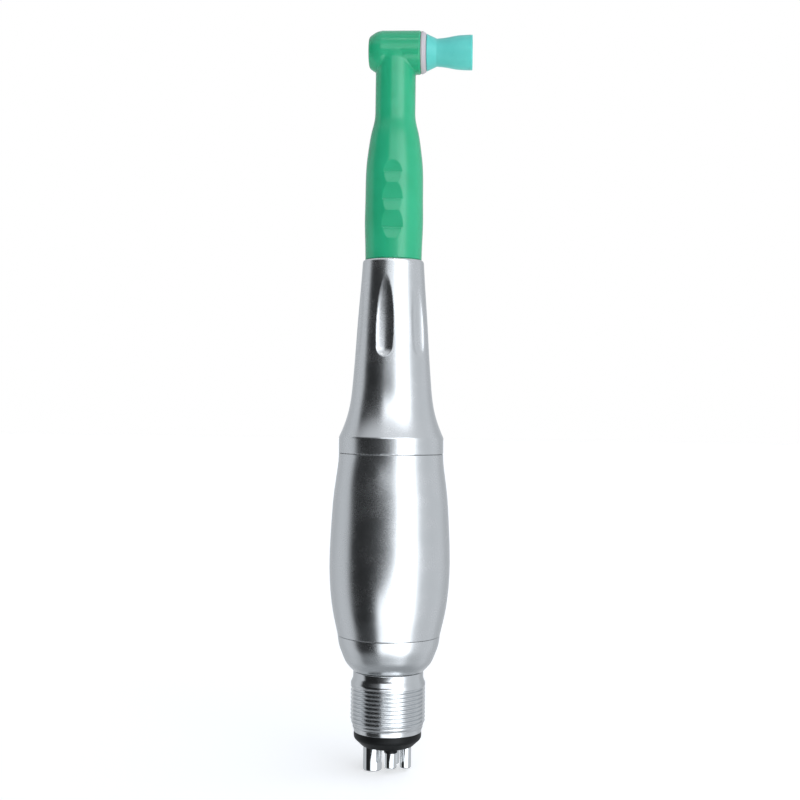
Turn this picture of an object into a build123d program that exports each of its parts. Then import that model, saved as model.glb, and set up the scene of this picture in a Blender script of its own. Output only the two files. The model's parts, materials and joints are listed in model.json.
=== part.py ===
from build123d import *
import os
from math import acos, asin, atan, atan2, cos, degrees, pi, radians, sin, tan

# Air-driven hygiene handpiece with a swivel hose connector and a right-angle prophy head.
# Millimetres. +Z runs to the head, +X to the cup. Heights below count from a plane FACE_Z behind
# the gasket's rear face; save() moves each part so that the origin is the centre of that face.

# ---------------------------------------------------------------- connector
FACE_Z = 0.35
GASKET_TOP = 2.65
GASKET_R = 5.4
GASKET_FACE_R = 4.02
GASKET_HOLE_GAP = 0.03
BOSS_TIP = -0.15
BOSS_R = 1.12
BOSS_TIP_R = 1.03
LAND_R = 5.5
THREAD_START = 3.5
THREAD_END = 10.2
THREAD_R = 5.95
THREAD_PITCH = 0.635
THREAD_DEPTH = 0.39
NECK_R = 5.6
NECK_END = 12.3
STEM_R = 4.55
STEM_END = 19.4
SWIVEL_RING_Z = (13.6, 15.2, 16.8)
SWIVEL_RING_SECTION = 0.35
HUB_END = 18.2

# tube name: centre x, centre y, outer radius, bore radius, tip, passage end
TUBES = {
    "exhaust_tube": (-2.3, -0.5, 1.5, 1.1, -3.5, STEM_END),
    "drive_air_tube": (0.75, 2.6, 1.05, 0.65, -3.2, STEM_END),
    "water_tube": (0.74, -2.75, 0.95, 0.5, -2.6, 8.0),
    "chip_air_tube": (2.93, -0.3, 0.9, 0.5, -3.1, 8.0),
}
BOSS_TUBE = "water_tube"
TUBE_STEP = 0.2
TUBE_TOP = 6.5

# ---------------------------------------------------------------- casing
CAP_BASE = 12.4
CAP_SEAM = 17.95
BARREL_REAR = 18.0
BARREL_FRONT = 46.84
BARREL_BORE = 7.1
SPIGOT_R = 7.05
HUB_BORE = 4.62
CAP_BORE = 6.25
NOSE_REAR = 46.9
NOSE_CREASE = 49.45
NOSE_FRONT = 77.7
NOSE_BAND_R = 8.34
NOSE_SOCKET = 6.25
NOSE_BORE = 5.05
NOSE_FRONT_BORE = 4.42
FLUTE_COUNT = 6
FLUTE_CUTTER_R = 3.1
FLUTE_CENTRE_R = 8.08
FLUTE_DEEPEST = 71.2
FLUTE_ARC_R = 65.5
FLUTE_START = 64.0
FLUTE_FIRST_ANGLE = -99.2

# ---------------------------------------------------------------- vane motor
REAR_PLATE = (20.0, 23.4)
CYLINDER = (23.42, 36.38)
FRONT_PLATE = (36.4, 39.75)
CYLINDER_BORE = 5.3
CYLINDER_OFFSET = 0.5
ROTOR = (23.46, 36.34)
ROTOR_R = 4.75
VANE_COUNT = 4
VANE_SLOT = 0.8
VANE_SLOT_ROOT = 1.9
RACE_POCKET = 4.01
SEAL_SECTION = 0.3
SEAL_GROOVE_R = 6.45
SEAL_Z = (18.95, 38.0)
INLET_Y = -6.15
LOCATING_PIN_X = -5.75

# ---------------------------------------------------------------- bearings
# shaft radius, inner race radius, ball circle, ball radius, outer race bore, balls
ROTOR_BEARING = (1.5, 2.2, 2.75, 0.65, 3.3, 7)
SPINDLE_BEARING = (2.0, 2.55, 3.0, 0.55, 3.45, 8)
BEARING_R = 4.0
BEARING_WIDTH = 3.0
REAR_ROTOR_BEARING_Z = 20.4
FRONT_ROTOR_BEARING_Z = 36.4
REAR_SPINDLE_BEARING_Z = 47.0
FRONT_SPINDLE_BEARING_Z = 57.45

# ---------------------------------------------------------------- reduction gear
MODULE = 1 / 3
SUN_TEETH = 12
PLANET_TEETH = 12
RING_TEETH = 36
PRESSURE_ANGLE = radians(25)
PLANET_RADIUS = MODULE * (SUN_TEETH + PLANET_TEETH) / 2
PLANET_COUNT = 3
TOOTH_ADDENDUM = 0.8 * MODULE
TOOTH_DEDENDUM = 1.1 * MODULE
BACKLASH = 0.05
RING_GEAR = (39.8, 44.6)
SUN = (40.2, 43.9)
PLANET = (40.6, 43.8)
PLANET_PIN_R = 0.6

# ---------------------------------------------------------------- nose tube and chuck
FLANGE = (44.65, 46.8)
FLANGE_STEP_R = 6.2
TUBE_BODY_END = 61.0
NOSE_TUBE_END = 76.0
NOSE_TUBE_R = 3.25
NOSE_TUBE_BORE = 2.55
NOSE_RING_Z = 69.0
NOSE_RING_SECTION = 0.26
SPINDLE_END = 75.0
SPINDLE_R = 2.4
CHUCK_BORE = 1.75
COLLET_BORE = 1.2

# ---------------------------------------------------------------- prophy angle
SLEEVE_REAR = 64.5
SLEEVE_R = 4.38
SLEEVE_BORE = 3.35
SHOULDER_Z = 77.75
SHOULDER_R = 4.5
SLEEVE_END = 77.2
ANGLE_BORE = 2.6
NECK_BORE = 2.25
ANGLE_NECK_R = 3.2
HEAD_Z = 110.9
HEAD_R = 3.43
HEAD_LEFT = -4.28
HEAD_RIGHT = 4.0
HEAD_BORE = 2.75
GRIP_Z = (91.2, 86.9, 82.5)
GRIP_TOP = 93.3
GRIP_BELOW = 1.75
GRIP_SURFACE = 4.62
GRIP_DEPTH = 0.3
GRIP_LEDGE = 0.07
GRIP_RIM_DEPTH = 0.08
SHAFT_TAIL_R = 1.175
SHAFT_R = 1.6
PINION_TEETH = 10
CUP_GEAR_TEETH = 12
BEVEL_MODULE = 0.32
BEVEL_SMALL_END = 0.6
CUP_START = 4.93
CUP_END = 12.2

os.makedirs("parts", exist_ok=True)

HEAD_AXIS = Axis((0, 0, HEAD_Z), (1, 0, 0))
HEAD_SECTION = Plane(origin=(0, 0, HEAD_Z), x_dir=(1, 0, 0), z_dir=(0, -1, 0))


def save(piece, label):
    placed = piece.part.moved(Location((0, 0, -FACE_Z)))
    placed.label = label
    export_step(placed, "parts/" + label + ".step")


def turn(points, mode=Mode.ADD):
    """Turn a closed half section of (radius, height) points about the long axis."""
    with BuildSketch(Plane.XZ) as section:
        with BuildLine():
            Polyline(*points, close=True)
        make_face()
    revolve(section.sketch, axis=Axis.Z, mode=mode)


def turn_head(points, mode=Mode.ADD):
    """Turn a closed half section of (x, radius) points about the head's axis."""
    with BuildSketch(HEAD_SECTION) as section:
        with BuildLine():
            Polyline(*points, close=True)
        make_face()
    revolve(section.sketch, axis=HEAD_AXIS, mode=mode)


def tube_ring(r_in, r_out, low, high, mode=Mode.ADD):
    """A plain ring between two radii and two heights."""
    turn([(r_in, low), (r_out, low), (r_out, high), (r_in, high)], mode)


def turn_about(x, y, points, mode=Mode.ADD):
    """Turn a closed half section of (radius, height) points about an axis beside the long axis."""
    with BuildSketch(Plane(origin=(x, y, 0), x_dir=(1, 0, 0), z_dir=(0, -1, 0))) as section:
        with BuildLine():
            Polyline(*points, close=True)
        make_face()
    revolve(section.sketch, axis=Axis((x, y, 0), (0, 0, 1)), mode=mode)


def drill(x, y, radius, low, high):
    """A hole along the long axis."""
    with BuildSketch(Plane.XY.offset(low)) as circle:
        with Locations((x, y)):
            Circle(radius)
    extrude(circle.sketch, amount=high - low, mode=Mode.SUBTRACT)


# ================================================================ hose connector
def make_connector_body():
    root_r = THREAD_R - THREAD_DEPTH
    ridges = []
    z = THREAD_START
    while z + THREAD_PITCH <= THREAD_END + 0.01:
        ridges.append((root_r, z))
        ridges.append((THREAD_R, z + 0.26 * THREAD_PITCH))
        ridges.append((THREAD_R, z + 0.4 * THREAD_PITCH))
        ridges.append((root_r, z + 0.66 * THREAD_PITCH))
        z += THREAD_PITCH
    outline = [(0, GASKET_TOP), (GASKET_R, GASKET_TOP), (LAND_R, THREAD_START - 0.1)]
    outline += ridges
    outline += [(root_r, THREAD_END - 0.2), (THREAD_R, THREAD_END), (THREAD_R, THREAD_END + 0.25)]
    outline += [(NECK_R, THREAD_END + 1.1), (NECK_R, NECK_END - 0.15), (NECK_R - 0.15, NECK_END)]
    outline += [(STEM_R, NECK_END), (STEM_R, STEM_END - 0.3), (STEM_R - 0.3, STEM_END), (0, STEM_END)]
    with BuildPart() as body:
        turn(outline)
        # lead-in taper at the rear of the thread
        turn(
            [(LAND_R + 0.02, THREAD_START - 0.05), (THREAD_R + 0.1, THREAD_START + 1.25),
             (THREAD_R + 0.5, THREAD_START + 1.25), (THREAD_R + 0.5, THREAD_START - 0.05)],
            Mode.SUBTRACT,
        )
        for ring_z in SWIVEL_RING_Z:
            tube_ring(3.88, STEM_R + 0.2, ring_z - 0.4, ring_z + 0.4, Mode.SUBTRACT)
        tube_ring(4.08, STEM_R + 0.2, HUB_END + 0.05, HUB_END + 0.65, Mode.SUBTRACT)
        for x, y, outer, bore, _, passage_end in TUBES.values():
            drill(x, y, outer - TUBE_STEP + 0.01, GASKET_TOP, TUBE_TOP + 0.1)
            drill(x, y, bore, TUBE_TOP, passage_end)
    save(body, "connector_body")


def make_connector_gasket():
    with BuildPart() as gasket:
        turn(
            [(0, FACE_Z), (GASKET_FACE_R, FACE_Z), (GASKET_R - 0.1, 1.5), (GASKET_R, 1.7),
             (GASKET_R, GASKET_TOP), (0, GASKET_TOP)]
        )
        # small boss round the water tube
        boss_x, boss_y = TUBES[BOSS_TUBE][:2]
        turn_about(
            boss_x, boss_y,
            [(0, BOSS_TIP), (BOSS_TIP_R, BOSS_TIP), (BOSS_R, FACE_Z), (BOSS_R, 1.0), (0, 1.0)],
        )
        for label, (x, y, outer, _, _, _) in TUBES.items():
            drill(x, y, outer - TUBE_STEP + 0.02, BOSS_TIP, GASKET_TOP)
            if label != BOSS_TUBE:
                drill(x, y, outer + GASKET_HOLE_GAP, FACE_Z, FACE_Z + 0.12)
    save(gasket, "connector_gasket")


def make_tube(label):
    x, y, outer, bore, tip, _ = TUBES[label]
    inner = outer - TUBE_STEP
    step = BOSS_TIP - 0.02 if label == BOSS_TUBE else FACE_Z + 0.1
    with BuildPart() as tube:
        turn_about(
            x, y,
            [(bore, tip), (outer - 0.15, tip), (outer, tip + 0.25), (outer, step), (inner, step),
             (inner, TUBE_TOP), (bore, TUBE_TOP)],
        )
    save(tube, label)


def make_swivel_o_rings():
    with BuildPart() as rings:
        for ring_z in SWIVEL_RING_Z:
            with Locations((0, 0, ring_z)):
                Torus(STEM_R - 0.3, SWIVEL_RING_SECTION)
    save(rings, "swivel_o_rings")


def open_ring(label, r_in, r_out, low, high, gap):
    """A flat snap ring with one gap facing +X."""
    with BuildPart() as ring:
        tube_ring(r_in, r_out, low, high)
        with BuildSketch(Plane.XY.offset(low)) as opening:
            with Locations((r_out, 0)):
                Rectangle(2 * r_out, gap)
        extrude(opening.sketch, amount=high - low, mode=Mode.SUBTRACT)
    save(ring, label)


# ================================================================ outer casing
def make_rear_cap():
    with BuildPart() as cap:
        with BuildSketch(Plane.XZ) as section:
            with BuildLine():
                shell = Spline(
                    (5.72, CAP_BASE + 0.05), (6.6, 13.4), (7.37, 14.9), (7.88, 16.3),
                    (8.15, CAP_SEAM - 0.08),
                )
                Polyline(
                    shell @ 1, (8.07, CAP_SEAM), (SPIGOT_R, CAP_SEAM), (SPIGOT_R, 19.8),
                    (SPIGOT_R - 0.1, 19.9), (CAP_BORE, 19.9), (CAP_BORE, HUB_END), (HUB_BORE, HUB_END),
                    (HUB_BORE, CAP_BASE + 0.15), (HUB_BORE + 0.15, CAP_BASE), (5.6, CAP_BASE), shell @ 0,
                )
            make_face()
        revolve(section.sketch, axis=Axis.Z)
        tube_ring(SEAL_GROOVE_R, SPIGOT_R + 0.2, SEAL_Z[0] - 0.35, SEAL_Z[0] + 0.35, Mode.SUBTRACT)
    save(cap, "rear_cap")


def make_barrel():
    with BuildPart() as barrel:
        with BuildSketch(Plane.XZ) as section:
            with BuildLine():
                shell = Spline(
                    (8.17, BARREL_REAR + 0.08), (8.85, 21.1), (9.3, 24.0), (9.6, 29.3), (9.4, 35.3),
                    (8.97, 41.0), (8.47, 44.8), (NOSE_BAND_R, BARREL_FRONT - 0.2),
                    tangents=((0.22, 1), (0, 1)),
                )
                Polyline(
                    shell @ 1, (NOSE_BAND_R, BARREL_FRONT - 0.08), (NOSE_BAND_R - 0.08, BARREL_FRONT),
                    (BARREL_BORE, BARREL_FRONT), (BARREL_BORE, BARREL_REAR),
                    (8.09, BARREL_REAR), shell @ 0,
                )
            make_face()
        revolve(section.sketch, axis=Axis.Z)
    save(barrel, "barrel")


def cut_flute(angle):
    """Teardrop finger flute: a ball-ended cutter run along a shallow arc that leaves the taper."""
    outward = Vector(cos(angle), sin(angle), 0)
    across = Vector(-sin(angle), cos(angle), 0)
    arc_centre = outward * (FLUTE_CENTRE_R + FLUTE_ARC_R) + Vector(0, 0, FLUTE_DEEPEST)
    swing = asin((FLUTE_DEEPEST - FLUTE_START) / FLUTE_ARC_R)
    start = arc_centre - outward * FLUTE_ARC_R * cos(swing) - Vector(0, 0, FLUTE_ARC_R * sin(swing))
    heading = Vector(0, 0, cos(swing)) - outward * sin(swing)
    with Locations(start):
        Sphere(FLUTE_CUTTER_R, mode=Mode.SUBTRACT)
    with BuildSketch(Plane(origin=start, x_dir=across, z_dir=heading)) as cutter:
        Circle(FLUTE_CUTTER_R)
    revolve(
        cutter.sketch, axis=Axis(arc_centre, across), revolution_arc=2 * degrees(swing),
        mode=Mode.SUBTRACT,
    )


def make_nose_cone():
    with BuildPart() as nose:
        with BuildSketch(Plane.XZ) as section:
            with BuildLine():
                shell = Spline(
                    (NOSE_BAND_R, NOSE_CREASE), (7.82, 50.65), (7.12, 52.6), (6.52, 55.4),
                    (6.2, 58.6), (5.93, 62.1), (5.6, 67.2), (5.2, 72.5), (4.92, 76.6),
                    tangents=((-0.45, 1), (-0.06, 1)),
                )
                rim = ThreePointArc(shell @ 1, (4.82, 77.35), (4.55, NOSE_FRONT))
                Polyline(
                    rim @ 1, (NOSE_FRONT_BORE, NOSE_FRONT), (NOSE_FRONT_BORE, 61.2),
                    (NOSE_BORE, 61.2), (NOSE_BORE, 49.2), (NOSE_SOCKET, 49.2), (NOSE_SOCKET, NOSE_REAR),
                    (NOSE_BAND_R - 0.08, NOSE_REAR), (NOSE_BAND_R, NOSE_REAR + 0.08), shell @ 0,
                )
            make_face()
        revolve(section.sketch, axis=Axis.Z)
        for index in range(FLUTE_COUNT):
            cut_flute(radians(FLUTE_FIRST_ANGLE + index * 360 / FLUTE_COUNT))
    save(nose, "nose_cone")


# ================================================================ vane motor
def make_rear_end_plate():
    low, high = REAR_PLATE
    with BuildPart() as plate:
        tube_ring(1.7, SPIGOT_R, low, high)
        tube_ring(0, RACE_POCKET, REAR_ROTOR_BEARING_Z, high, Mode.SUBTRACT)
        drill(0, INLET_Y, 0.5, low, high)
        drill(LOCATING_PIN_X, 0, 0.41, 22.4, high)
        with BuildSketch(Plane.XY.offset(low)) as notch:
            with Locations((0, 7)):
                Rectangle(5, 1.6)
        extrude(notch.sketch, amount=high - low, mode=Mode.SUBTRACT)
    save(plate, "rear_end_plate")


def make_motor_cylinder():
    low, high = CYLINDER
    with BuildPart() as cylinder:
        tube_ring(0, SPIGOT_R, low, high)
        drill(CYLINDER_OFFSET, 0, CYLINDER_BORE, low, high)
        drill(0, INLET_Y, 0.5, low, 31.5)
        drill(LOCATING_PIN_X, 0, 0.41, low, high)
        # inlet ports from the feed hole, exhaust slots and their return channel opposite
        for port_z in (27.0, 29.0, 31.0):
            with BuildSketch(Plane(origin=(0, INLET_Y, port_z), z_dir=(0, 1, 0))) as port:
                Circle(0.35)
            extrude(port.sketch, amount=1.6, mode=Mode.SUBTRACT)
        for slot_z in (26.5, 29.0, 31.5, 34.0):
            with Locations((0, 6, slot_z)):
                Box(4.4, 4, 0.9, mode=Mode.SUBTRACT)
        with Locations((0, 7, (low + 35) / 2)):
            Box(5, 1.2, 35 - low, mode=Mode.SUBTRACT)
    save(cylinder, "motor_cylinder")


def make_front_end_plate():
    low, high = FRONT_PLATE
    with BuildPart() as plate:
        tube_ring(1.9, SPIGOT_R, low, high)
        tube_ring(0, RACE_POCKET, low, low + BEARING_WIDTH, Mode.SUBTRACT)
        tube_ring(SEAL_GROOVE_R, SPIGOT_R + 0.2, SEAL_Z[1] - 0.35, SEAL_Z[1] + 0.35, Mode.SUBTRACT)
        drill(LOCATING_PIN_X, 0, 0.41, low, 37.4)
    save(plate, "front_end_plate")


def make_locating_pin():
    with BuildPart() as pin:
        with BuildSketch(Plane.XY.offset(22.5)) as circle:
            with Locations((LOCATING_PIN_X, 0)):
                Circle(0.4)
        extrude(circle.sketch, amount=14.8)
    save(pin, "locating_pin")


def make_barrel_o_rings():
    with BuildPart() as rings:
        for seal_z in SEAL_Z:
            with Locations((0, 0, seal_z)):
                Torus(SEAL_GROOVE_R + SEAL_SECTION + 0.02, SEAL_SECTION)
    save(rings, "barrel_o_rings")


def make_rotor():
    low, high = ROTOR
    with BuildPart() as rotor:
        tube_ring(0, ROTOR_R, low, high)
        turn(
            [(0, 20.2), (1.3, 20.2), (1.49, 20.4), (1.49, 39.6), (1.0, 39.6), (1.0, 43.75),
             (0.85, 43.9), (0, 43.9)]
        )
        for index in range(VANE_COUNT):
            with BuildSketch(Plane.XY.offset(low)) as slot:
                with PolarLocations((ROTOR_R + 0.1 + VANE_SLOT_ROOT) / 2, 1, index * 360 / VANE_COUNT):
                    Rectangle(ROTOR_R + 0.1 - VANE_SLOT_ROOT, VANE_SLOT)
            extrude(slot.sketch, amount=high - low, mode=Mode.SUBTRACT)
    save(rotor, "rotor")


def make_rotor_vanes():
    low, high = ROTOR
    with BuildPart() as vanes:
        with BuildSketch(Plane.XY.offset(low + 0.04)) as section:
            with PolarLocations((ROTOR_R - 0.03 + VANE_SLOT_ROOT + 0.1) / 2, VANE_COUNT):
                Rectangle(ROTOR_R - 0.03 - VANE_SLOT_ROOT - 0.1, VANE_SLOT - 0.04)
        extrude(section.sketch, amount=high - low - 0.08)
    save(vanes, "rotor_vanes")


# ================================================================ ball bearings
def make_inner_races(label, bearing, seats):
    shaft_r, race_r, circle_r, ball_r, _, _ = bearing
    with BuildPart() as races:
        for seat in seats:
            tube_ring(shaft_r, race_r, seat, seat + BEARING_WIDTH)
            with Locations((0, 0, seat + BEARING_WIDTH / 2)):
                Torus(circle_r, ball_r + 0.02, mode=Mode.SUBTRACT)
    save(races, label)


def make_outer_races(label, bearing, seats):
    _, _, circle_r, ball_r, bore, _ = bearing
    with BuildPart() as races:
        for seat in seats:
            tube_ring(bore, BEARING_R, seat, seat + BEARING_WIDTH)
            with Locations((0, 0, seat + BEARING_WIDTH / 2)):
                Torus(circle_r, ball_r + 0.02, mode=Mode.SUBTRACT)
    save(races, label)


def make_balls_and_cage(prefix, bearing, seat):
    _, _, circle_r, ball_r, _, count = bearing
    middle = seat + BEARING_WIDTH / 2
    with BuildPart() as balls:
        with Locations((0, 0, middle)):
            with PolarLocations(circle_r, count):
                Sphere(ball_r)
    save(balls, prefix + "_balls")
    with BuildPart() as cage:
        tube_ring(circle_r - 0.2, circle_r + 0.2, middle - 0.95, middle + 0.95)
        for index in range(count):
            angle = 2 * pi * index / count
            outward = (cos(angle), sin(angle), 0)
            with BuildSketch(Plane(origin=(0, 0, middle), z_dir=outward)) as pocket:
                Circle(ball_r + 0.05)
            extrude(pocket.sketch, amount=circle_r + 1, mode=Mode.SUBTRACT)
    save(cage, prefix + "_cage")


# ================================================================ reduction gear
def involute(angle):
    return tan(angle) - angle


def tooth_half_angle(radius, pitch_r, half_at_pitch):
    """Half the angle an involute tooth takes up at a radius."""
    base_r = pitch_r * cos(PRESSURE_ANGLE)
    local = acos(base_r / max(radius, base_r))
    return half_at_pitch + involute(PRESSURE_ANGLE) - involute(local)


def gear_outline(teeth, pitch_r, root_r, tip_r, thinning, first_angle=0.0, steps=5):
    """Outline points of an involute gear with one tooth centred on first_angle."""
    half = pi / (2 * teeth) - thinning / (2 * pitch_r)
    radii = [root_r + (tip_r - root_r) * step / steps for step in range(steps + 1)]
    points = []
    for tooth in range(teeth):
        centre = first_angle + 2 * pi * tooth / teeth
        for radius in radii:
            angle = centre - tooth_half_angle(radius, pitch_r, half)
            points.append((radius * cos(angle), radius * sin(angle)))
        for radius in reversed(radii):
            angle = centre + tooth_half_angle(radius, pitch_r, half)
            points.append((radius * cos(angle), radius * sin(angle)))
    return points


def spur_gear(points, low, high, mode=Mode.ADD):
    with BuildSketch(Plane.XY.offset(low)) as section:
        with BuildLine():
            Polyline(*points, close=True)
        make_face()
    extrude(section.sketch, amount=high - low, mode=mode)


def make_sun_pinion():
    pitch_r = MODULE * SUN_TEETH / 2
    outline = gear_outline(SUN_TEETH, pitch_r, pitch_r - TOOTH_DEDENDUM, pitch_r + TOOTH_ADDENDUM, BACKLASH)
    with BuildPart() as sun:
        spur_gear(outline, SUN[0], SUN[1])
        drill(0, 0, 1.01, SUN[0], SUN[1])
    save(sun, "sun_pinion")


def make_planet_gears():
    pitch_r = MODULE * PLANET_TEETH / 2
    for index in range(PLANET_COUNT):
        station = 2 * pi * index / PLANET_COUNT
        outline = gear_outline(
            PLANET_TEETH, pitch_r, pitch_r - TOOTH_DEDENDUM, pitch_r + TOOTH_ADDENDUM, BACKLASH,
            station + pi / PLANET_TEETH,
        )
        x = PLANET_RADIUS * cos(station)
        y = PLANET_RADIUS * sin(station)
        with BuildPart() as planet:
            spur_gear([(px + x, py + y) for px, py in outline], PLANET[0], PLANET[1])
            drill(x, y, PLANET_PIN_R + 0.03, PLANET[0], PLANET[1])
        save(planet, "planet_gear_" + str(index + 1))


def make_ring_gear():
    pitch_r = MODULE * RING_TEETH / 2
    # the spaces of the ring are the teeth of an outside gear, so the space is centred half a pitch on
    spaces = gear_outline(
        RING_TEETH, pitch_r, pitch_r - TOOTH_ADDENDUM, pitch_r + TOOTH_DEDENDUM, -BACKLASH,
        pi / RING_TEETH,
    )
    with BuildPart() as ring:
        tube_ring(0, SPIGOT_R, RING_GEAR[0], RING_GEAR[1])
        spur_gear(spaces, RING_GEAR[0], RING_GEAR[1], Mode.SUBTRACT)
    save(ring, "ring_gear")


def make_planet_carrier():
    with BuildPart() as carrier:
        turn([(1.51, 44.0), (5.5, 44.0), (5.5, 45.4), (2.5, 45.4), (2.5, 46.9), (1.51, 46.9)])
        for index in range(PLANET_COUNT):
            station = 2 * pi * index / PLANET_COUNT
            drill(PLANET_RADIUS * cos(station), PLANET_RADIUS * sin(station), PLANET_PIN_R + 0.01, 44.0, 45.4)
    save(carrier, "planet_carrier")


def make_carrier_plate():
    with BuildPart() as plate:
        tube_ring(2.5, 5.2, 40.0, 40.45)
        for index in range(PLANET_COUNT):
            station = 2 * pi * index / PLANET_COUNT
            drill(PLANET_RADIUS * cos(station), PLANET_RADIUS * sin(station), PLANET_PIN_R + 0.01, 40.0, 40.45)
    save(plate, "carrier_plate")


def make_planet_pins():
    with BuildPart() as pins:
        with BuildSketch(Plane.XY.offset(40.0)) as section:
            with PolarLocations(PLANET_RADIUS, PLANET_COUNT):
                Circle(PLANET_PIN_R)
        extrude(section.sketch, amount=5.35)
    save(pins, "planet_pins")


# ================================================================ nose tube and chuck
def make_nose_tube():
    low, high = FLANGE
    with BuildPart() as tube:
        turn(
            [(5.7, low), (SPIGOT_R, low), (SPIGOT_R, high), (FLANGE_STEP_R, high),
             (FLANGE_STEP_R, 49.0), (5.0, 49.0), (5.0, TUBE_BODY_END - 0.4), (4.6, TUBE_BODY_END), (NOSE_TUBE_R, TUBE_BODY_END),
             (NOSE_TUBE_R, NOSE_TUBE_END - 0.3), (NOSE_TUBE_R - 0.3, NOSE_TUBE_END),
             (NOSE_TUBE_BORE, NOSE_TUBE_END), (NOSE_TUBE_BORE, 60.5), (RACE_POCKET, 60.5),
             (RACE_POCKET, 45.6), (5.7, 45.6)]
        )
        tube_ring(RACE_POCKET - 0.1, 4.35, 45.85, 46.3, Mode.SUBTRACT)
        tube_ring(2.79, NOSE_TUBE_R + 0.2, NOSE_RING_Z - 0.3, NOSE_RING_Z + 0.3, Mode.SUBTRACT)
    save(tube, "nose_tube")


def make_bearing_spacer():
    with BuildPart() as spacer:
        tube_ring(3.5, 3.98, 50.05, 57.4)
    save(spacer, "bearing_spacer")


def make_preload_washer():
    """A cone-shaped spring washer that loads the two spindle bearings."""
    with BuildPart() as washer:
        turn([(3.1, 46.4), (3.95, 46.72), (3.95, 46.92), (3.1, 46.6)])
    save(washer, "preload_washer")


def make_spindle():
    with BuildPart() as spindle:
        turn(
            [(0, 44.1), (1.35, 44.1), (1.5, 44.25), (1.5, 46.93), (1.99, 46.93), (1.99, 60.5),
             (SPINDLE_R, 60.5), (SPINDLE_R, SPINDLE_END), (CHUCK_BORE, SPINDLE_END), (CHUCK_BORE, 62.0),
             (0, 62.0)]
        )
    save(spindle, "spindle")


def make_chuck_collet():
    with BuildPart() as collet:
        turn(
            [(COLLET_BORE, 63.0), (1.55, 63.0), (1.7, 63.15), (1.7, 75.6), (1.45, 75.9),
             (1.3, 75.9), (COLLET_BORE, 75.7)]
        )
        with BuildSketch(Plane.XY.offset(67.0)) as slots:
            with PolarLocations(1.0, 3, 30):
                Rectangle(2.0, 0.35)
        extrude(slots.sketch, amount=10, mode=Mode.SUBTRACT)
    save(collet, "chuck_collet")


def make_chuck_collar():
    with BuildPart() as collar:
        turn([(1.75, 75.05), (2.4, 75.05), (2.4, 76.1), (2.2, 76.3), (1.75, 76.3)])
    save(collar, "chuck_collar")


# ================================================================ prophy angle
def grip_profile(side):
    """Finger scoops one above another, each with a small ledge across its deepest line."""
    rim = side * (GRIP_SURFACE - GRIP_RIM_DEPTH)
    floor = side * (GRIP_SURFACE - GRIP_DEPTH)
    ledge = floor + side * GRIP_LEDGE
    outside = side * (GRIP_SURFACE + 1)
    upper_middle = floor + (rim - floor) / 4
    lower_middle = ledge + (rim - ledge) / 4
    top = GRIP_TOP
    with BuildSketch(Plane.YZ) as profile:
        with BuildLine():
            for deepest in GRIP_Z:
                shelf = deepest - GRIP_LEDGE
                bottom = deepest - GRIP_BELOW
                ThreePointArc((rim, top), (upper_middle, (top + deepest) / 2), (floor, deepest))
                Line((floor, deepest), (ledge, shelf))
                ThreePointArc((ledge, shelf), (lower_middle, (shelf + bottom) / 2), (rim, bottom))
                top = bottom
            Polyline((rim, bottom), (outside, bottom), (outside, GRIP_TOP), (rim, GRIP_TOP))
        make_face()
    extrude(profile.sketch, amount=4, both=True, mode=Mode.SUBTRACT)


def make_angle_body():
    with BuildPart() as body:
        with BuildSketch(Plane.XZ) as section:
            with BuildLine():
                shell = Spline(
                    (SHOULDER_R, SHOULDER_Z + 0.1), (4.56, 80.4), (4.66, 83.5), (4.62, 87.0), (4.6, 90.0),
                    (4.48, 93.0), (4.13, 95.9), (3.73, 98.2), (3.36, 99.7), (ANGLE_NECK_R, 101.2),
                    tangents=((0.02, 1), (-0.02, 1)),
                )
                Polyline(
                    shell @ 1, (ANGLE_NECK_R, HEAD_Z), (NECK_BORE, HEAD_Z), (NECK_BORE, 98.3),
                    (ANGLE_BORE, 97.8), (ANGLE_BORE, SLEEVE_END), (SLEEVE_BORE, SLEEVE_END),
                    (SLEEVE_BORE, SLEEVE_REAR), (SLEEVE_R - 0.2, SLEEVE_REAR),
                    (SLEEVE_R, SLEEVE_REAR + 0.3), (SLEEVE_R, SHOULDER_Z),
                    (SHOULDER_R - 0.06, SHOULDER_Z), shell @ 0,
                )
            make_face()
        revolve(section.sketch, axis=Axis.Z)
        for side in (-1, 1):
            grip_profile(side)
        # the neck's front and back swell up into the head
        with BuildSketch(Plane.XY.offset(103.0)) as neck_low:
            Circle(ANGLE_NECK_R)
        with BuildSketch(Plane.XY.offset(HEAD_Z)) as neck_high:
            Ellipse(ANGLE_NECK_R, HEAD_R - 0.02)
        loft([neck_low.sketch.faces()[0], neck_high.sketch.faces()[0]])
        turn_head(
            [(HEAD_LEFT, 0), (HEAD_LEFT, 2.35), (HEAD_LEFT + 0.12, 2.62), (HEAD_LEFT + 0.45, 2.9),
             (HEAD_LEFT + 1.0, 3.18), (HEAD_LEFT + 1.6, HEAD_R), (HEAD_RIGHT - 0.25, HEAD_R),
             (HEAD_RIGHT, HEAD_R - 0.2), (HEAD_RIGHT, 0)]
        )
        drill(0, 0, NECK_BORE, 98.3, HEAD_Z)
        turn_head([(0.2, 0), (0.2, HEAD_BORE), (HEAD_RIGHT, HEAD_BORE), (HEAD_RIGHT, 0)], Mode.SUBTRACT)
        turn_head([(-3.4, 0), (-3.4, NECK_BORE), (0.2, NECK_BORE), (0.2, 0)], Mode.SUBTRACT)
        turn_head([(-3.95, 0), (-3.95, 0.63), (-3.4, 0.63), (-3.4, 0)], Mode.SUBTRACT)
    save(body, "angle_body")


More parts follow.
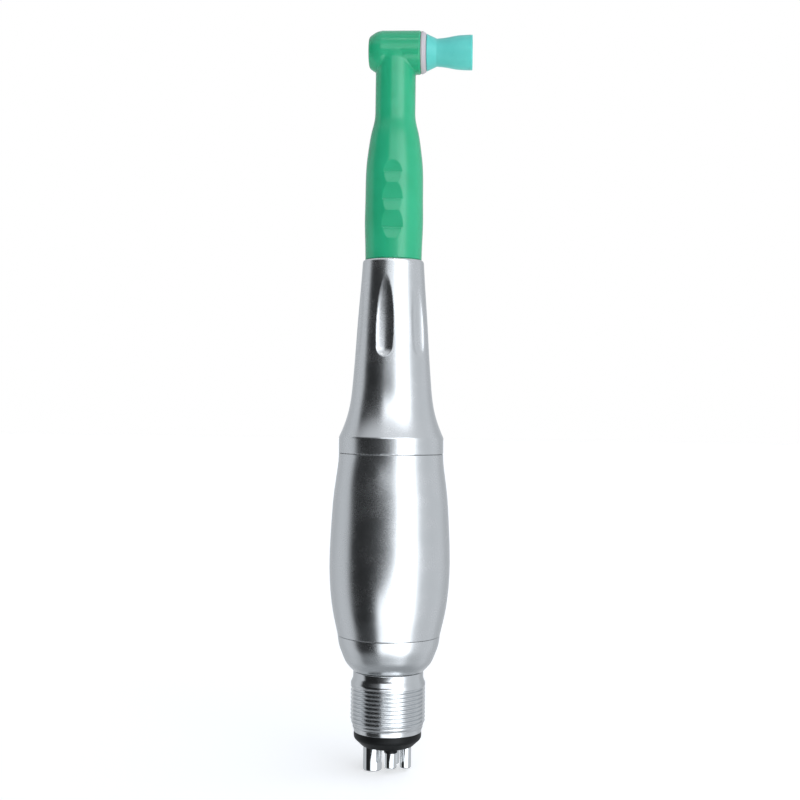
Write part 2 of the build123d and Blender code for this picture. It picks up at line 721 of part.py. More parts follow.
def make_head_collar():
    with BuildPart() as collar:
        turn_head(
            [(2.1, 1.65), (2.1, HEAD_BORE - 0.01), (HEAD_RIGHT + 0.01, HEAD_BORE - 0.01),
             (HEAD_RIGHT + 0.01, 3.3), (HEAD_RIGHT + 0.2, 3.34), (HEAD_RIGHT + 0.45, 3.27),
             (HEAD_RIGHT + 0.87, 2.95), (HEAD_RIGHT + 0.87, 1.65)]
        )
    save(collar, "head_collar")


def make_shaft_bush():
    with BuildPart() as bush:
        tube_ring(SHAFT_R + 0.05, ANGLE_BORE - 0.01, 77.4, 80.4)
    save(bush, "shaft_bush")


def bevel_outline(teeth, mate_teeth, apex_distance, first_angle):
    """Outline of a bevel gear in a plane square to its axis, at a distance from the apex."""
    cone = atan2(teeth, mate_teeth)
    pitch_r = BEVEL_MODULE * teeth / 2
    slant = pitch_r / sin(cone)
    virtual_r = slant * tan(cone)
    half = pi * BEVEL_MODULE / 4 / virtual_r - 0.03 / virtual_r
    low = cone - atan(1.0 * BEVEL_MODULE / slant)
    high = cone + atan(0.75 * BEVEL_MODULE / slant)
    steps = 4
    rays = [low + (high - low) * step / steps for step in range(steps + 1)]
    points = []
    for tooth in range(teeth):
        centre = first_angle + 2 * pi * tooth / teeth
        flank = []
        for ray in rays:
            height = virtual_r + slant * tan(ray - cone)
            flank.append((apex_distance * tan(ray), tooth_half_angle(height, virtual_r, half) / cos(cone)))
        for radius, angle in flank:
            points.append((radius * cos(centre - angle), radius * sin(centre - angle)))
        for radius, angle in reversed(flank):
            points.append((radius * cos(centre + angle), radius * sin(centre + angle)))
    return points


def bevel_teeth(teeth, mate_teeth, first_angle, large_plane, small_plane):
    """Teeth tapering to the common apex, between two planes."""
    large_distance = BEVEL_MODULE * mate_teeth / 2
    faces = []
    for plane, distance in ((large_plane, large_distance), (small_plane, large_distance * BEVEL_SMALL_END)):
        with BuildSketch(plane) as section:
            with BuildLine():
                Polyline(*bevel_outline(teeth, mate_teeth, distance, first_angle), close=True)
            make_face()
        faces.append(section.sketch.faces()[0])
    loft(faces, ruled=True)


def make_angle_drive_shaft():
    distance = BEVEL_MODULE * CUP_GEAR_TEETH / 2
    large = Plane(origin=(0, 0, HEAD_Z - distance))
    small = Plane(origin=(0, 0, HEAD_Z - distance * BEVEL_SMALL_END))
    with BuildPart() as shaft:
        turn(
            [(0, 66.5), (0.8, 66.5), (SHAFT_TAIL_R, 67.0), (SHAFT_TAIL_R, 77.2), (SHAFT_R, 77.4),
             (SHAFT_R, 80.6), (2.3, 80.6), (2.3, 81.4), (SHAFT_R, 81.4), (SHAFT_R, 101.2),
             (2.2, 101.5), (2.2, 105.0), (1.5, 105.3), (1.5, 107.9), (1.1, 107.9),
             (1.1, HEAD_Z - distance + 0.1), (0, HEAD_Z - distance + 0.1)]
        )
        bevel_teeth(PINION_TEETH, CUP_GEAR_TEETH, 0.0, large, small)
    save(shaft, "angle_drive_shaft")


def make_cup_gear():
    distance = BEVEL_MODULE * PINION_TEETH / 2
    large = Plane(origin=(distance, 0, HEAD_Z), x_dir=(0, 0, -1), z_dir=(1, 0, 0))
    small = Plane(origin=(distance * BEVEL_SMALL_END, 0, HEAD_Z), x_dir=(0, 0, -1), z_dir=(1, 0, 0))
    with BuildPart() as gear:
        bevel_teeth(CUP_GEAR_TEETH, PINION_TEETH, pi / CUP_GEAR_TEETH, large, small)
        turn_head(
            [(-3.85, 0), (-3.85, 0.5), (-3.75, 0.6), (distance, 0.6), (distance, 1.6), (4.9, 1.6),
             (4.9, 1.0), (5.9, 1.0), (6.1, 1.5), (6.5, 1.5), (7.0, 1.0), (7.0, 0)]
        )
    save(gear, "cup_gear")


def make_prophy_cup():
    with BuildPart() as cup:
        with BuildSketch(HEAD_SECTION) as section:
            with BuildLine():
                shell = Spline(
                    (CUP_START + 0.12, 2.88), (5.5, 2.62), (6.45, 2.17), (8.0, 2.32), (9.6, 2.6), (10.9, 2.72),
                    tangents=((1, -0.25), (1, 0.02)),
                )
                Polyline(
                    shell @ 1, (CUP_END - 0.1, 2.74), (CUP_END, 2.64), (CUP_END, 2.3), (8.3, 1.55),
                    (8.0, 1.2), (8.0, 0), (7.03, 0), (7.03, 1.0), (6.5, 1.52), (6.08, 1.52),
                    (5.88, 1.02), (CUP_START, 1.02), (CUP_START, 2.8), shell @ 0,
                )
            make_face()
        revolve(section.sketch, axis=HEAD_AXIS)
        # thin webs stand out from the cup's inner wall and floor
        for index in range(4):
            with BuildSketch(HEAD_SECTION) as web:
                with BuildLine():
                    Polyline((7.8, 0.6), (7.8, 1.7), (11.3, 2.4), (11.3, 1.95), (8.8, 0.8), (8.4, 0.6), close=True)
                make_face()
            turned = web.sketch.rotate(HEAD_AXIS, 45 + index * 90)
            extrude(turned, amount=0.15, both=True)
    save(cup, "prophy_cup")


def make_nose_o_ring():
    with BuildPart() as ring:
        with Locations((0, 0, NOSE_RING_Z)):
            Torus(3.07, NOSE_RING_SECTION)
    save(ring, "nose_o_ring")


make_connector_body()
make_connector_gasket()
for tube_name in TUBES:
    make_tube(tube_name)
make_swivel_o_rings()
open_ring("swivel_snap_ring", 4.1, 5.2, HUB_END + 0.1, HUB_END + 0.6, 2.6)

make_rear_cap()
make_barrel()
make_nose_cone()

make_rear_end_plate()
make_motor_cylinder()
make_front_end_plate()
make_locating_pin()
make_barrel_o_rings()
make_rotor()
make_rotor_vanes()

make_inner_races("rotor_bearing_inner_races", ROTOR_BEARING, (REAR_ROTOR_BEARING_Z, FRONT_ROTOR_BEARING_Z))
make_outer_races("rotor_bearing_outer_races", ROTOR_BEARING, (REAR_ROTOR_BEARING_Z, FRONT_ROTOR_BEARING_Z))
make_inner_races("spindle_bearing_inner_races", SPINDLE_BEARING, (REAR_SPINDLE_BEARING_Z, FRONT_SPINDLE_BEARING_Z))
make_outer_races("spindle_bearing_outer_races", SPINDLE_BEARING, (REAR_SPINDLE_BEARING_Z, FRONT_SPINDLE_BEARING_Z))
make_balls_and_cage("rear_rotor_bearing", ROTOR_BEARING, REAR_ROTOR_BEARING_Z)
make_balls_and_cage("front_rotor_bearing", ROTOR_BEARING, FRONT_ROTOR_BEARING_Z)
make_balls_and_cage("rear_spindle_bearing", SPINDLE_BEARING, REAR_SPINDLE_BEARING_Z)
make_balls_and_cage("front_spindle_bearing", SPINDLE_BEARING, FRONT_SPINDLE_BEARING_Z)

make_sun_pinion()
make_planet_gears()
make_ring_gear()
make_planet_carrier()
make_carrier_plate()
make_planet_pins()

make_nose_tube()
make_bearing_spacer()
make_preload_washer()
open_ring("bearing_snap_ring", 3.45, 4.3, 45.9, 46.25, 3.0)
make_spindle()
make_chuck_collet()
make_chuck_collar()
make_nose_o_ring()

make_angle_body()
make_head_collar()
make_shaft_bush()
make_angle_drive_shaft()
make_cup_gear()
make_prophy_cup()
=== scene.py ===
import json
import math

import bpy
import numpy as np
from mathutils import Matrix, Vector


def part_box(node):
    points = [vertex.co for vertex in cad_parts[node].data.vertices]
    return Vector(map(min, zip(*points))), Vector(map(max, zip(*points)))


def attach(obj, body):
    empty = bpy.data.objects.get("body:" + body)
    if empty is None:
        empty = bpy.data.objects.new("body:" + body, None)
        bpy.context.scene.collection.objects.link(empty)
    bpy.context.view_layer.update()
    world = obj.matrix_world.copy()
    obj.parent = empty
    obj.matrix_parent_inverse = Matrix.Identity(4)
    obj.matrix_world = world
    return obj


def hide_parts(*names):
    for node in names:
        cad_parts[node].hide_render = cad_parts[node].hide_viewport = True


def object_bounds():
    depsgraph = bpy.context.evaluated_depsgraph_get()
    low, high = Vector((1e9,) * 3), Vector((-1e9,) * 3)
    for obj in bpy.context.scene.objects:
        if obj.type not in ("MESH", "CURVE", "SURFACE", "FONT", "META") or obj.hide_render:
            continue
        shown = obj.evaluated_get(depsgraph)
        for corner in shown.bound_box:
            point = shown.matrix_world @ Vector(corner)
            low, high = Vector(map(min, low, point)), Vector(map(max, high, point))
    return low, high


# Looks for the air-driven hygiene handpiece. Profiles are in millimetres: +Z runs up the long axis
# to the head, +X is the way the cup points. Heights count from a plane FACE_Z behind the gasket's
# face, where the CAD frame has its origin.

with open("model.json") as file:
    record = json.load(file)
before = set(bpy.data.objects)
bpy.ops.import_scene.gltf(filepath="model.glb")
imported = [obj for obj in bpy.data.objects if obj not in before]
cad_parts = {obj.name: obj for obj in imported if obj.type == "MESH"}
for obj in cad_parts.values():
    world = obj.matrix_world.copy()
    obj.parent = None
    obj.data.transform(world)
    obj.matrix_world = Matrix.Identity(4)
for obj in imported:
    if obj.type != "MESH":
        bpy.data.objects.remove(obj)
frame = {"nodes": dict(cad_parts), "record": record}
cad_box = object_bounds()

MM = 0.001
FACE_Z = 0.35
HEAD_Z = 0.5 * (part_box("head_collar")[0].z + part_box("head_collar")[1].z) / MM + FACE_Z
VIEW_TURN = math.radians(3.5)  # the viewer stands slightly round towards the cup


# ---------------------------------------------------------------- curves and outlines
def smooth_curve(points, start_slope=None, end_slope=None):
    """A curve with even bending through (position, value) points, as a function of position."""
    x = np.array([point[0] for point in points], float)
    y = np.array([point[1] for point in points], float)
    count = len(x)
    step = np.diff(x)
    matrix = np.zeros((count, count))
    right = np.zeros(count)
    for i in range(1, count - 1):
        matrix[i, i - 1 : i + 2] = 1 / step[i - 1], 2 / step[i - 1] + 2 / step[i], 1 / step[i]
        right[i] = 3 * ((y[i] - y[i - 1]) / step[i - 1] ** 2 + (y[i + 1] - y[i]) / step[i] ** 2)
    for end, inner, slope in ((0, 1, start_slope), (-1, -2, end_slope)):
        if slope is None:
            matrix[end, end], matrix[end, inner] = 2, 1
            right[end] = 3 * (y[inner] - y[end]) / (x[inner] - x[end])
        else:
            matrix[end, end] = 1
            right[end] = slope
    slopes = np.linalg.solve(matrix, right)

    def curve(position):
        position = np.asarray(position, float)
        inside = np.clip(position, x[0], x[-1])
        span = np.clip(np.searchsorted(x, inside) - 1, 0, count - 2)
        width = step[span]
        t = (inside - x[span]) / width
        value = (2 * t**3 - 3 * t**2 + 1) * y[span] + (3 * t**2 - 2 * t**3) * y[span + 1]
        value += (t**3 - 2 * t**2 + t) * width * slopes[span] + (t**3 - t**2) * width * slopes[span + 1]
        beyond = np.where(position < x[0], slopes[0], slopes[-1]) * (position - inside)
        return value + beyond

    return curve


def outline(points, steps=5):
    """(radius, height) rows from (radius, height[, corner rounding]) points.

    The points are a closed loop, or start and end on the axis."""
    points = [tuple(point) + (0.0,) * (3 - len(point)) for point in points]
    rows = []
    for i, (radius, height, rounding) in enumerate(points):
        here = np.array([radius, height])
        before = np.array(points[i - 1][:2]) - here
        after = np.array(points[(i + 1) % len(points)][:2]) - here
        if rounding <= 0 or radius == 0:
            rows.append(here)
            continue
        near = here + before * min(0.5, rounding / np.linalg.norm(before))
        far = here + after * min(0.5, rounding / np.linalg.norm(after))
        for t in np.linspace(0, 1, steps):
            rows.append((1 - t) ** 2 * near + 2 * t * (1 - t) * here + t**2 * far)
    return np.array(rows)


def along(curve, low, high, count):
    """Evenly spaced (radius, height) points of a curve."""
    heights = np.linspace(low, high, count)
    return [(float(radius), float(height)) for radius, height in zip(curve(heights), heights)]


# ---------------------------------------------------------------- meshes
def mesh_piece(name, points, faces, body, nodes, material, outward=None):
    """A smooth mesh piece from points in mm, riding on a body in place of CAD nodes."""
    points = (np.asarray(points, float) - (0, 0, FACE_Z)) * MM
    faces = np.asarray(faces, int)
    corners = points[faces]
    fans = sum(np.cross(corners[:, k], corners[:, k + 1]) for k in range(1, faces.shape[1] - 1))
    if np.einsum("ij,ij->i", corners[:, 0], fans).sum() < 0:
        faces = faces[:, ::-1]
    mesh = bpy.data.meshes.new(name)
    mesh.vertices.add(len(points))
    mesh.vertices.foreach_set("co", points.ravel())
    mesh.loops.add(faces.size)
    mesh.loops.foreach_set("vertex_index", faces.ravel())
    mesh.polygons.add(len(faces))
    mesh.polygons.foreach_set("loop_start", np.arange(0, faces.size, faces.shape[1]))
    mesh.polygons.foreach_set("use_smooth", np.ones(len(faces), bool))
    mesh.update(calc_edges=True)
    mesh.validate()
    if outward is not None:
        mesh.normals_split_custom_set_from_vertices(outward)
    piece = bpy.data.objects.new(name, mesh)
    bpy.context.scene.collection.objects.link(piece)
    mesh.materials.append(material)
    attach(piece, body)
    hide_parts(*nodes)
    return piece


def turned(rows, segments=192, centre=(0.0, 0.0), head=False, radius_at=None):
    """Points and faces of rows turned about the long axis, or about the head's axis.

    Rows that start and end on the axis give a solid; other rows close on themselves as a shell.
    radius_at(radius, height, angle) may reshape each ring."""
    solid = rows[0][0] == 0 and rows[-1][0] == 0
    middle = rows[1:-1] if solid else rows
    angle = 2 * np.pi * np.arange(segments) / segments
    radius = np.repeat(middle[:, :1], segments, axis=1)
    height = np.repeat(middle[:, 1:2], segments, axis=1)
    if radius_at is not None:
        radius = radius_at(radius, height, angle[None, :])
    across, aside = radius * np.cos(angle), radius * np.sin(angle)
    if head:
        points = np.stack([height, across, aside + HEAD_Z], -1)
    else:
        points = np.stack([across + centre[0], aside + centre[1], height], -1)
    points = points.reshape(-1, 3)
    count = len(middle)
    ring = np.arange(count if not solid else count - 1)
    low = ring[:, None] * segments + np.arange(segments)
    high = ((ring + 1) % count)[:, None] * segments + np.arange(segments)
    turn = np.roll(np.arange(segments), -1)
    faces = np.stack([low, low[:, turn], high[:, turn], high], -1).reshape(-1, 4)
    if not solid:
        return points, faces
    ends = []
    for row, first in ((rows[0], 0), (rows[-1], (count - 1) * segments)):
        tip = [row[1], 0, HEAD_Z] if head else [centre[0], centre[1], row[1]]
        points = np.vstack([points, tip])
        rim = first + np.arange(segments)
        fan = np.stack([np.full(segments, len(points) - 1), rim, rim[turn], rim[turn]], -1)
        ends.append(fan if first else fan[:, [0, 2, 1, 1]])
    return points, (faces, np.vstack(ends)[:, :3])


def turned_piece(name, rows, body, nodes, slot, material, **shape):
    """A turned piece. The end caps of a solid are triangles, so it is built in two sets of faces."""
    points, faces = turned(rows, **shape)
    if isinstance(faces, tuple):
        quads, caps = faces
        both = np.vstack([quads[:, [0, 1, 2]], quads[:, [0, 2, 3]], caps])
        piece = mesh_piece(name, points, both, body, nodes, material)
    else:
        piece = mesh_piece(name, points, faces, body, nodes, material)
    weights = piece.modifiers.new("even normals", "WEIGHTED_NORMAL")
    weights.weight = 80
    return piece


def smooth_max(a, b, radius):
    """The larger of two distances, with the corner between them rounded."""
    blend = np.clip(0.5 + 0.5 * (a - b) / radius, 0, 1)
    return a * blend + b * (1 - blend) + radius * blend * (1 - blend)


def smooth_min(a, b, radius):
    return -smooth_max(-a, -b, radius)


def slope_of(distance, points, step=0.004):
    """Gradient of a distance function."""
    slope = np.empty_like(points)
    for axis in range(3):
        offset = np.zeros(3)
        offset[axis] = step
        slope[:, axis] = (distance(points + offset) - distance(points - offset)) / (2 * step)
    return slope


def skin(distance, low, high, cell):
    """Points, quads and outward directions of the zero surface of a distance function, in mm."""
    low, high = np.array(low, float), np.array(high, float)
    counts = np.ceil((high - low) / cell).astype(int) + 1
    lines = [low[axis] + cell * np.arange(counts[axis]) for axis in range(3)]
    field = np.empty(counts)
    for layer in range(counts[2]):
        x, y = np.meshgrid(lines[0], lines[1], indexing="ij")
        flat = np.stack([x.ravel(), y.ravel(), np.full(x.size, lines[2][layer])], -1)
        field[:, :, layer] = distance(flat).reshape(x.shape)
    inside = field < 0
    total = np.zeros(counts - 1, int)
    corners = [(i, j, k) for i in (0, 1) for j in (0, 1) for k in (0, 1)]
    nx, ny, nz = counts - 1
    for i, j, k in corners:
        total += inside[i : i + nx, j : j + ny, k : k + nz]
    cells = np.argwhere((total > 0) & (total < 8))
    number = np.full(counts - 1, -1)
    number[tuple(cells.T)] = np.arange(len(cells))
    place = np.zeros((len(cells), 3))
    hits = np.zeros(len(cells))
    for a in corners:
        for axis in range(3):
            if a[axis]:
                continue
            b = list(a)
            b[axis] = 1
            value_a = field[tuple((cells + a).T)]
            value_b = field[tuple((cells + b).T)]
            crossing = (value_a < 0) != (value_b < 0)
            share = np.where(crossing, value_a / np.where(crossing, value_a - value_b, 1), 0)
            spot = np.array(a, float) + share[:, None] * (np.array(b, float) - np.array(a, float))
            place += np.where(crossing[:, None], spot, 0)
            hits += crossing
    points = low + cell * (cells + place / hits[:, None])
    quads = []
    for axis in range(3):
        ahead = np.roll(inside, -1, axis)
        change = inside != ahead
        trim = [slice(1, -1)] * 3
        trim[axis] = slice(0, -1)
        edges = np.argwhere(change[tuple(trim)]) + [0 if d == axis else 1 for d in range(3)]
        side, other = (axis + 1) % 3, (axis + 2) % 3
        ring = []
        for back_side, back_other in ((1, 1), (0, 1), (0, 0), (1, 0)):
            step = np.zeros(3, int)
            step[side], step[other] = -back_side, -back_other
            ring.append(number[tuple((edges + step).T)])
        ring = np.stack(ring, -1)
        outward = inside[tuple(edges.T)]
        quads.append(np.where(outward[:, None], ring, ring[:, ::-1]))
    quads = np.vstack(quads)
    links = np.vstack([quads[:, [0, 1]], quads[:, [1, 2]], quads[:, [2, 3]], quads[:, [3, 0]]])
    for settle in range(4):
        if settle:
            total = np.zeros_like(points)
            for axis in range(3):
                total[:, axis] = np.bincount(links[:, 0], points[links[:, 1], axis], len(points))
            degree = np.bincount(links[:, 0], minlength=len(points))
            average = total / degree[:, None]
            slope = slope_of(distance, points)
            slope /= np.linalg.norm(slope, axis=1, keepdims=True)
            move = average - points
            move -= slope * np.einsum("ij,ij->i", move, slope)[:, None]
            points = points + 0.5 * move
        for _ in range(2):
            slope = slope_of(distance, points)
            size = np.einsum("ij,ij->i", slope, slope)
            away = distance(points) / np.maximum(size, 0.2)
            points = points - np.clip(away, -cell, cell)[:, None] * slope
    slope = slope_of(distance, points)
    return points, quads, slope / np.linalg.norm(slope, axis=1, keepdims=True)


# ---------------------------------------------------------------- materials
class Shader:
    """Node helper for one procedural material. Texture positions are in mm."""

    def __init__(self, name, **values):
        self.material = bpy.data.materials.new(name)
        self.material.use_nodes = True
        self.nodes = self.material.node_tree.nodes
        self.links = self.material.node_tree.links
        self.surface = self.nodes["Principled BSDF"]
        for key, value in values.items():
            self.surface.inputs[key.replace("_", " ")].default_value = value
        place = self.nodes.new("ShaderNodeTexCoord")
        mapping = self.nodes.new("ShaderNodeMapping")
        mapping.inputs["Scale"].default_value = (1 / MM,) * 3
        self.links.new(place.outputs["Object"], mapping.inputs["Vector"])
        self.position = mapping.outputs["Vector"]
        self.height = None

    def noise(self, size, detail=2.0, stretch=(1, 1, 1)):
        """Noise whose features are about size mm across."""
        source = self.position
        if stretch != (1, 1, 1):
            mapping = self.nodes.new("ShaderNodeMapping")
            mapping.inputs["Scale"].default_value = stretch
            self.links.new(source, mapping.inputs["Vector"])
            source = mapping.outputs["Vector"]
        texture = self.nodes.new("ShaderNodeTexNoise")
        texture.inputs["Scale"].default_value = 1 / size
        texture.inputs["Detail"].default_value = detail
        self.links.new(source, texture.inputs["Vector"])
        return texture.outputs["Fac"]

    def ramp(self, source, low, high, from_value, to_value):
        """source from low..high mapped to from_value..to_value."""
        node = self.nodes.new("ShaderNodeMapRange")
        node.inputs["From Min"].default_value = low
        node.inputs["From Max"].default_value = high
        node.inputs["To Min"].default_value = from_value
        node.inputs["To Max"].default_value = to_value
        self.links.new(source, node.inputs["Value"])
        return node.outputs["Result"]

    def combine(self, operation, a, b):
        node = self.nodes.new("ShaderNodeMath")
        node.operation = operation
        for socket, value in zip(node.inputs, (a, b)):
            if isinstance(value, (int, float)):
                socket.default_value = value
            else:
                self.links.new(value, socket)
        return node.outputs["Value"]

    def bump(self, source, height, strength=1.0):
        """Adds a bump of height mm."""
        node = self.nodes.new("ShaderNodeBump")
        node.inputs["Strength"].default_value = strength
        node.inputs["Distance"].default_value = height * MM
        self.links.new(source, node.inputs["Height"])
        if self.height is not None:
            self.links.new(self.height, node.inputs["Normal"])
        self.height = node.outputs["Normal"]
        self.links.new(self.height, self.surface.inputs["Normal"])

    def vary(self, socket, source):
        self.links.new(source, self.surface.inputs[socket])

    def tint(self, source, dark, light):
        """Base colour between two linear colours."""
        node = self.nodes.new("ShaderNodeMix")
        node.data_type = "RGBA"
        node.inputs["A"].default_value = (*dark, 1)
        node.inputs["B"].default_value = (*light, 1)
        self.links.new(source, node.inputs["Factor"])
        self.links.new(node.outputs["Result"], self.surface.inputs["Base Color"])

    def edges(self):
        """1 on worn outside edges, 0 elsewhere."""
        geometry = self.nodes.new("ShaderNodeNewGeometry")
        return self.ramp(geometry.outputs["Pointiness"], 0.52, 0.6, 0.0, 1.0)


def satin_metal(name, dark, light, rough, grain_size, grain_height, lines):
    """Fine-blasted or finely turned metal with faint handling marks."""
    shader = Shader(name, Metallic=1.0)
    smudge = shader.noise(3.5, 3.0)
    fine = shader.noise(grain_size, 2.0)
    worn = shader.edges()
    smudge_share, worn_share = 0.75, 0.4
    smudged = shader.combine("MULTIPLY", smudge, smudge_share)
    shader.tint(shader.combine("ADD", smudged, shader.combine("MULTIPLY", worn, worn_share)), dark, light)
    spread = shader.ramp(smudge, 0.3, 0.7, rough * 0.88, rough * 1.12)
    shader.vary("Roughness", shader.combine("ADD", spread, shader.ramp(fine, 0.3, 0.7, -0.02, 0.02)))
    shader.bump(fine, grain_height)
    if lines:
        turned_lines = shader.noise(0.35, 2.0, stretch=(0.02, 0.02, 6.0))
        shader.bump(turned_lines, lines)
    return shader.material


def moulded_plastic(name, dark, light, rough, scatter, coat):
    """Injection-moulded plastic: slight flow shading, soft skin texture, light scattering inside."""
    shader = Shader(
        name, Roughness=rough, Subsurface_Weight=scatter, Subsurface_Radius=(0.4 * MM, 0.9 * MM, 0.6 * MM),
        Subsurface_Scale=1.0, Coat_Weight=coat, Coat_Roughness=0.08, IOR=1.5,
    )
    flow = shader.noise(5.0, 2.0)
    fine = shader.noise(0.25, 3.0)
    shader.tint(flow, dark, light)
    shader.vary("Roughness", shader.ramp(fine, 0.3, 0.7, rough * 0.85, rough * 1.2))
    shader.bump(shader.noise(1.6, 1.0), 0.002)
    shader.bump(fine, 0.0012)
    return shader.material


def soft_rubber(name, dark, light, rough, scatter, grain, sheen, gloss):
    """Elastomer with a velvety skin."""
    shader = Shader(
        name, Roughness=rough, Subsurface_Weight=scatter, Subsurface_Radius=(0.5 * MM, 1.1 * MM, 1.0 * MM),
        Subsurface_Scale=1.0, Sheen_Weight=sheen, Sheen_Roughness=0.5, Specular_IOR_Level=gloss, IOR=1.45,
    )
    cloud = shader.noise(1.8, 3.0)
    fine = shader.noise(0.12, 3.0)
    shader.tint(cloud, dark, light)
    shader.vary("Roughness", shader.ramp(cloud, 0.3, 0.7, rough * 0.9, rough * 1.15))
    shader.bump(shader.noise(0.8, 2.0), 0.008)
    shader.bump(fine, grain)
    return shader.material


def linear(red, green, blue):
    """Linear colour from 8-bit screen colour."""
    def channel(value):
        value /= 255
        return value / 12.92 if value <= 0.04045 else ((value + 0.055) / 1.055) ** 2.4
    return tuple(channel(value) for value in (red, green, blue))


# name: (dark colour, light colour, roughness, grain size, grain height, turned line height)
METALS = {
    "satin_casing": ((0.76, 0.78, 0.79), (0.88, 0.89, 0.9), 0.255, 0.16, 0.001, 0.0),
    "connector_metal": ((0.7, 0.72, 0.73), (0.86, 0.87, 0.88), 0.17, 0.12, 0.0006, 0.002),
    "tube_steel": ((0.72, 0.74, 0.75), (0.88, 0.88, 0.88), 0.09, 0.1, 0.0003, 0.0006),
    "machined_steel": ((0.5, 0.51, 0.52), (0.68, 0.69, 0.7), 0.26, 0.14, 0.001, 0.003),
    "bearing_steel": ((0.62, 0.63, 0.65), (0.78, 0.79, 0.8), 0.1, 0.1, 0.0002, 0.0005),
    "gear_steel": ((0.36, 0.37, 0.38), (0.55, 0.56, 0.57), 0.3, 0.12, 0.001, 0.001),
    "spring_steel": ((0.25, 0.25, 0.26), (0.42, 0.42, 0.43), 0.28, 0.15, 0.001, 0.001),
    "brass_collar": ((0.62, 0.42, 0.16), (0.83, 0.64, 0.32), 0.24, 0.14, 0.0008, 0.002),
}
# name: (dark colour, light colour, roughness, scatter, coat)
PLASTICS = {
    "vane_composite": ((0.09, 0.05, 0.025), (0.2, 0.12, 0.06), 0.5, 0.0, 0.0),
    "brown_cage": ((0.2, 0.11, 0.045), (0.34, 0.2, 0.09), 0.45, 0.0, 0.0),
    "green_plastic": (linear(33, 158, 110), linear(49, 179, 132), 0.17, 0.25, 0.05),
    "pale_plastic": (linear(176, 166, 170), linear(206, 200, 202), 0.3, 0.3, 0.0),
    "white_plastic": (linear(212, 212, 206), linear(236, 236, 231), 0.35, 0.3, 0.0),
}
# name: (dark colour, light colour, roughness, scatter, grain height, sheen, gloss)
RUBBERS = {
    "black_rubber": ((0.004, 0.0045, 0.005), (0.011, 0.012, 0.0125), 0.4, 0.0, 0.003, 0.0, 0.22),
    "turquoise_rubber": (linear(82, 190, 180), linear(104, 210, 200), 0.38, 0.35, 0.002, 0.12, 0.5),
}
MATERIALS = {}
for maker, looks in ((satin_metal, METALS), (moulded_plastic, PLASTICS), (soft_rubber, RUBBERS)):
    for name, values in looks.items():
        MATERIALS[name] = maker(name, *values)


# ---------------------------------------------------------------- hose connector
def make_connector():
    pitch = 0.635
    crest, depth = 5.95, 0.36
    thread_low, thread_high, run_out = 3.45, 10.2, 0.3
    lead_in_radius, lead_in_slope = 5.52, 0.4077
    root_half, flank_width = 0.22, 0.62
    rows_per_pitch = 24
    neck, stem, o_ring_seat = 5.6, 4.55, 3.88
    metal = MATERIALS["connector_metal"]

    def thread(radius, height, angle):
        phase = (height / pitch - angle / (2 * np.pi)) % 1
        flank = np.clip((np.abs(2 * phase - 1) - root_half) / flank_width, 0, 1)
        fade = np.clip((thread_high - height) / run_out, 0, 1)
        lead_in = lead_in_radius + (height - thread_low) * lead_in_slope
        cut = crest - depth * (1 - flank) * fade
        inside = (height > thread_low) & (height < thread_high) & (radius > crest - 0.01)
        return np.where(inside, np.minimum(cut, lead_in), radius)

    thread_rows = np.arange(thread_low + 0.01, thread_high, pitch / rows_per_pitch)
    points = [(0, 2.65), (5.4, 2.65, 0.1), (5.5, 3.4, 0.1)]
    points += [(crest, float(height)) for height in thread_rows]
    points += [(crest, thread_high + 0.02), (crest, 10.45, 0.12), (neck, 11.3, 0.25)]
    points += [(neck, 12.3, 0.2), (stem, 12.3)]
    for groove in (13.6, 15.2, 16.8):
        low, high = groove - 0.4, groove + 0.4
        points += [(stem, low), (o_ring_seat, low), (o_ring_seat, high), (stem, high)]
    points += [(stem, 18.25), (4.08, 18.25), (4.08, 18.85), (stem, 18.85), (stem, 19.4, 0.3), (0, 19.4)]
    turned_piece(
        "connector_thread_body", outline(points), "connector", ["connector_body"], "connector_metal", metal,
        segments=320, radius_at=thread,
    )
    for node, bore, bossed in (
        ("exhaust_tube", 1.1, False), ("drive_air_tube", 0.65, False), ("water_tube", 0.5, True),
        ("chip_air_tube", 0.5, False),
    ):
        low, high = (corner / MM + Vector((0, 0, FACE_Z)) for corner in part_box(node))
        outer = (high.x - low.x) / 2
        centre = ((low.x + high.x) / 2, (low.y + high.y) / 2)
        step = -0.17 if bossed else FACE_Z + 0.1
        points = [
            (bore, low.z, 0.08), (outer, low.z, 0.28), (outer, step, 0.04), (outer - 0.2, step),
            (outer - 0.2, high.z), (bore, high.z),
        ]
        turned_piece(
            node + "_polished", outline(points), "connector", [node], "tube_steel",
            MATERIALS["tube_steel"], segments=96, centre=centre,
        )


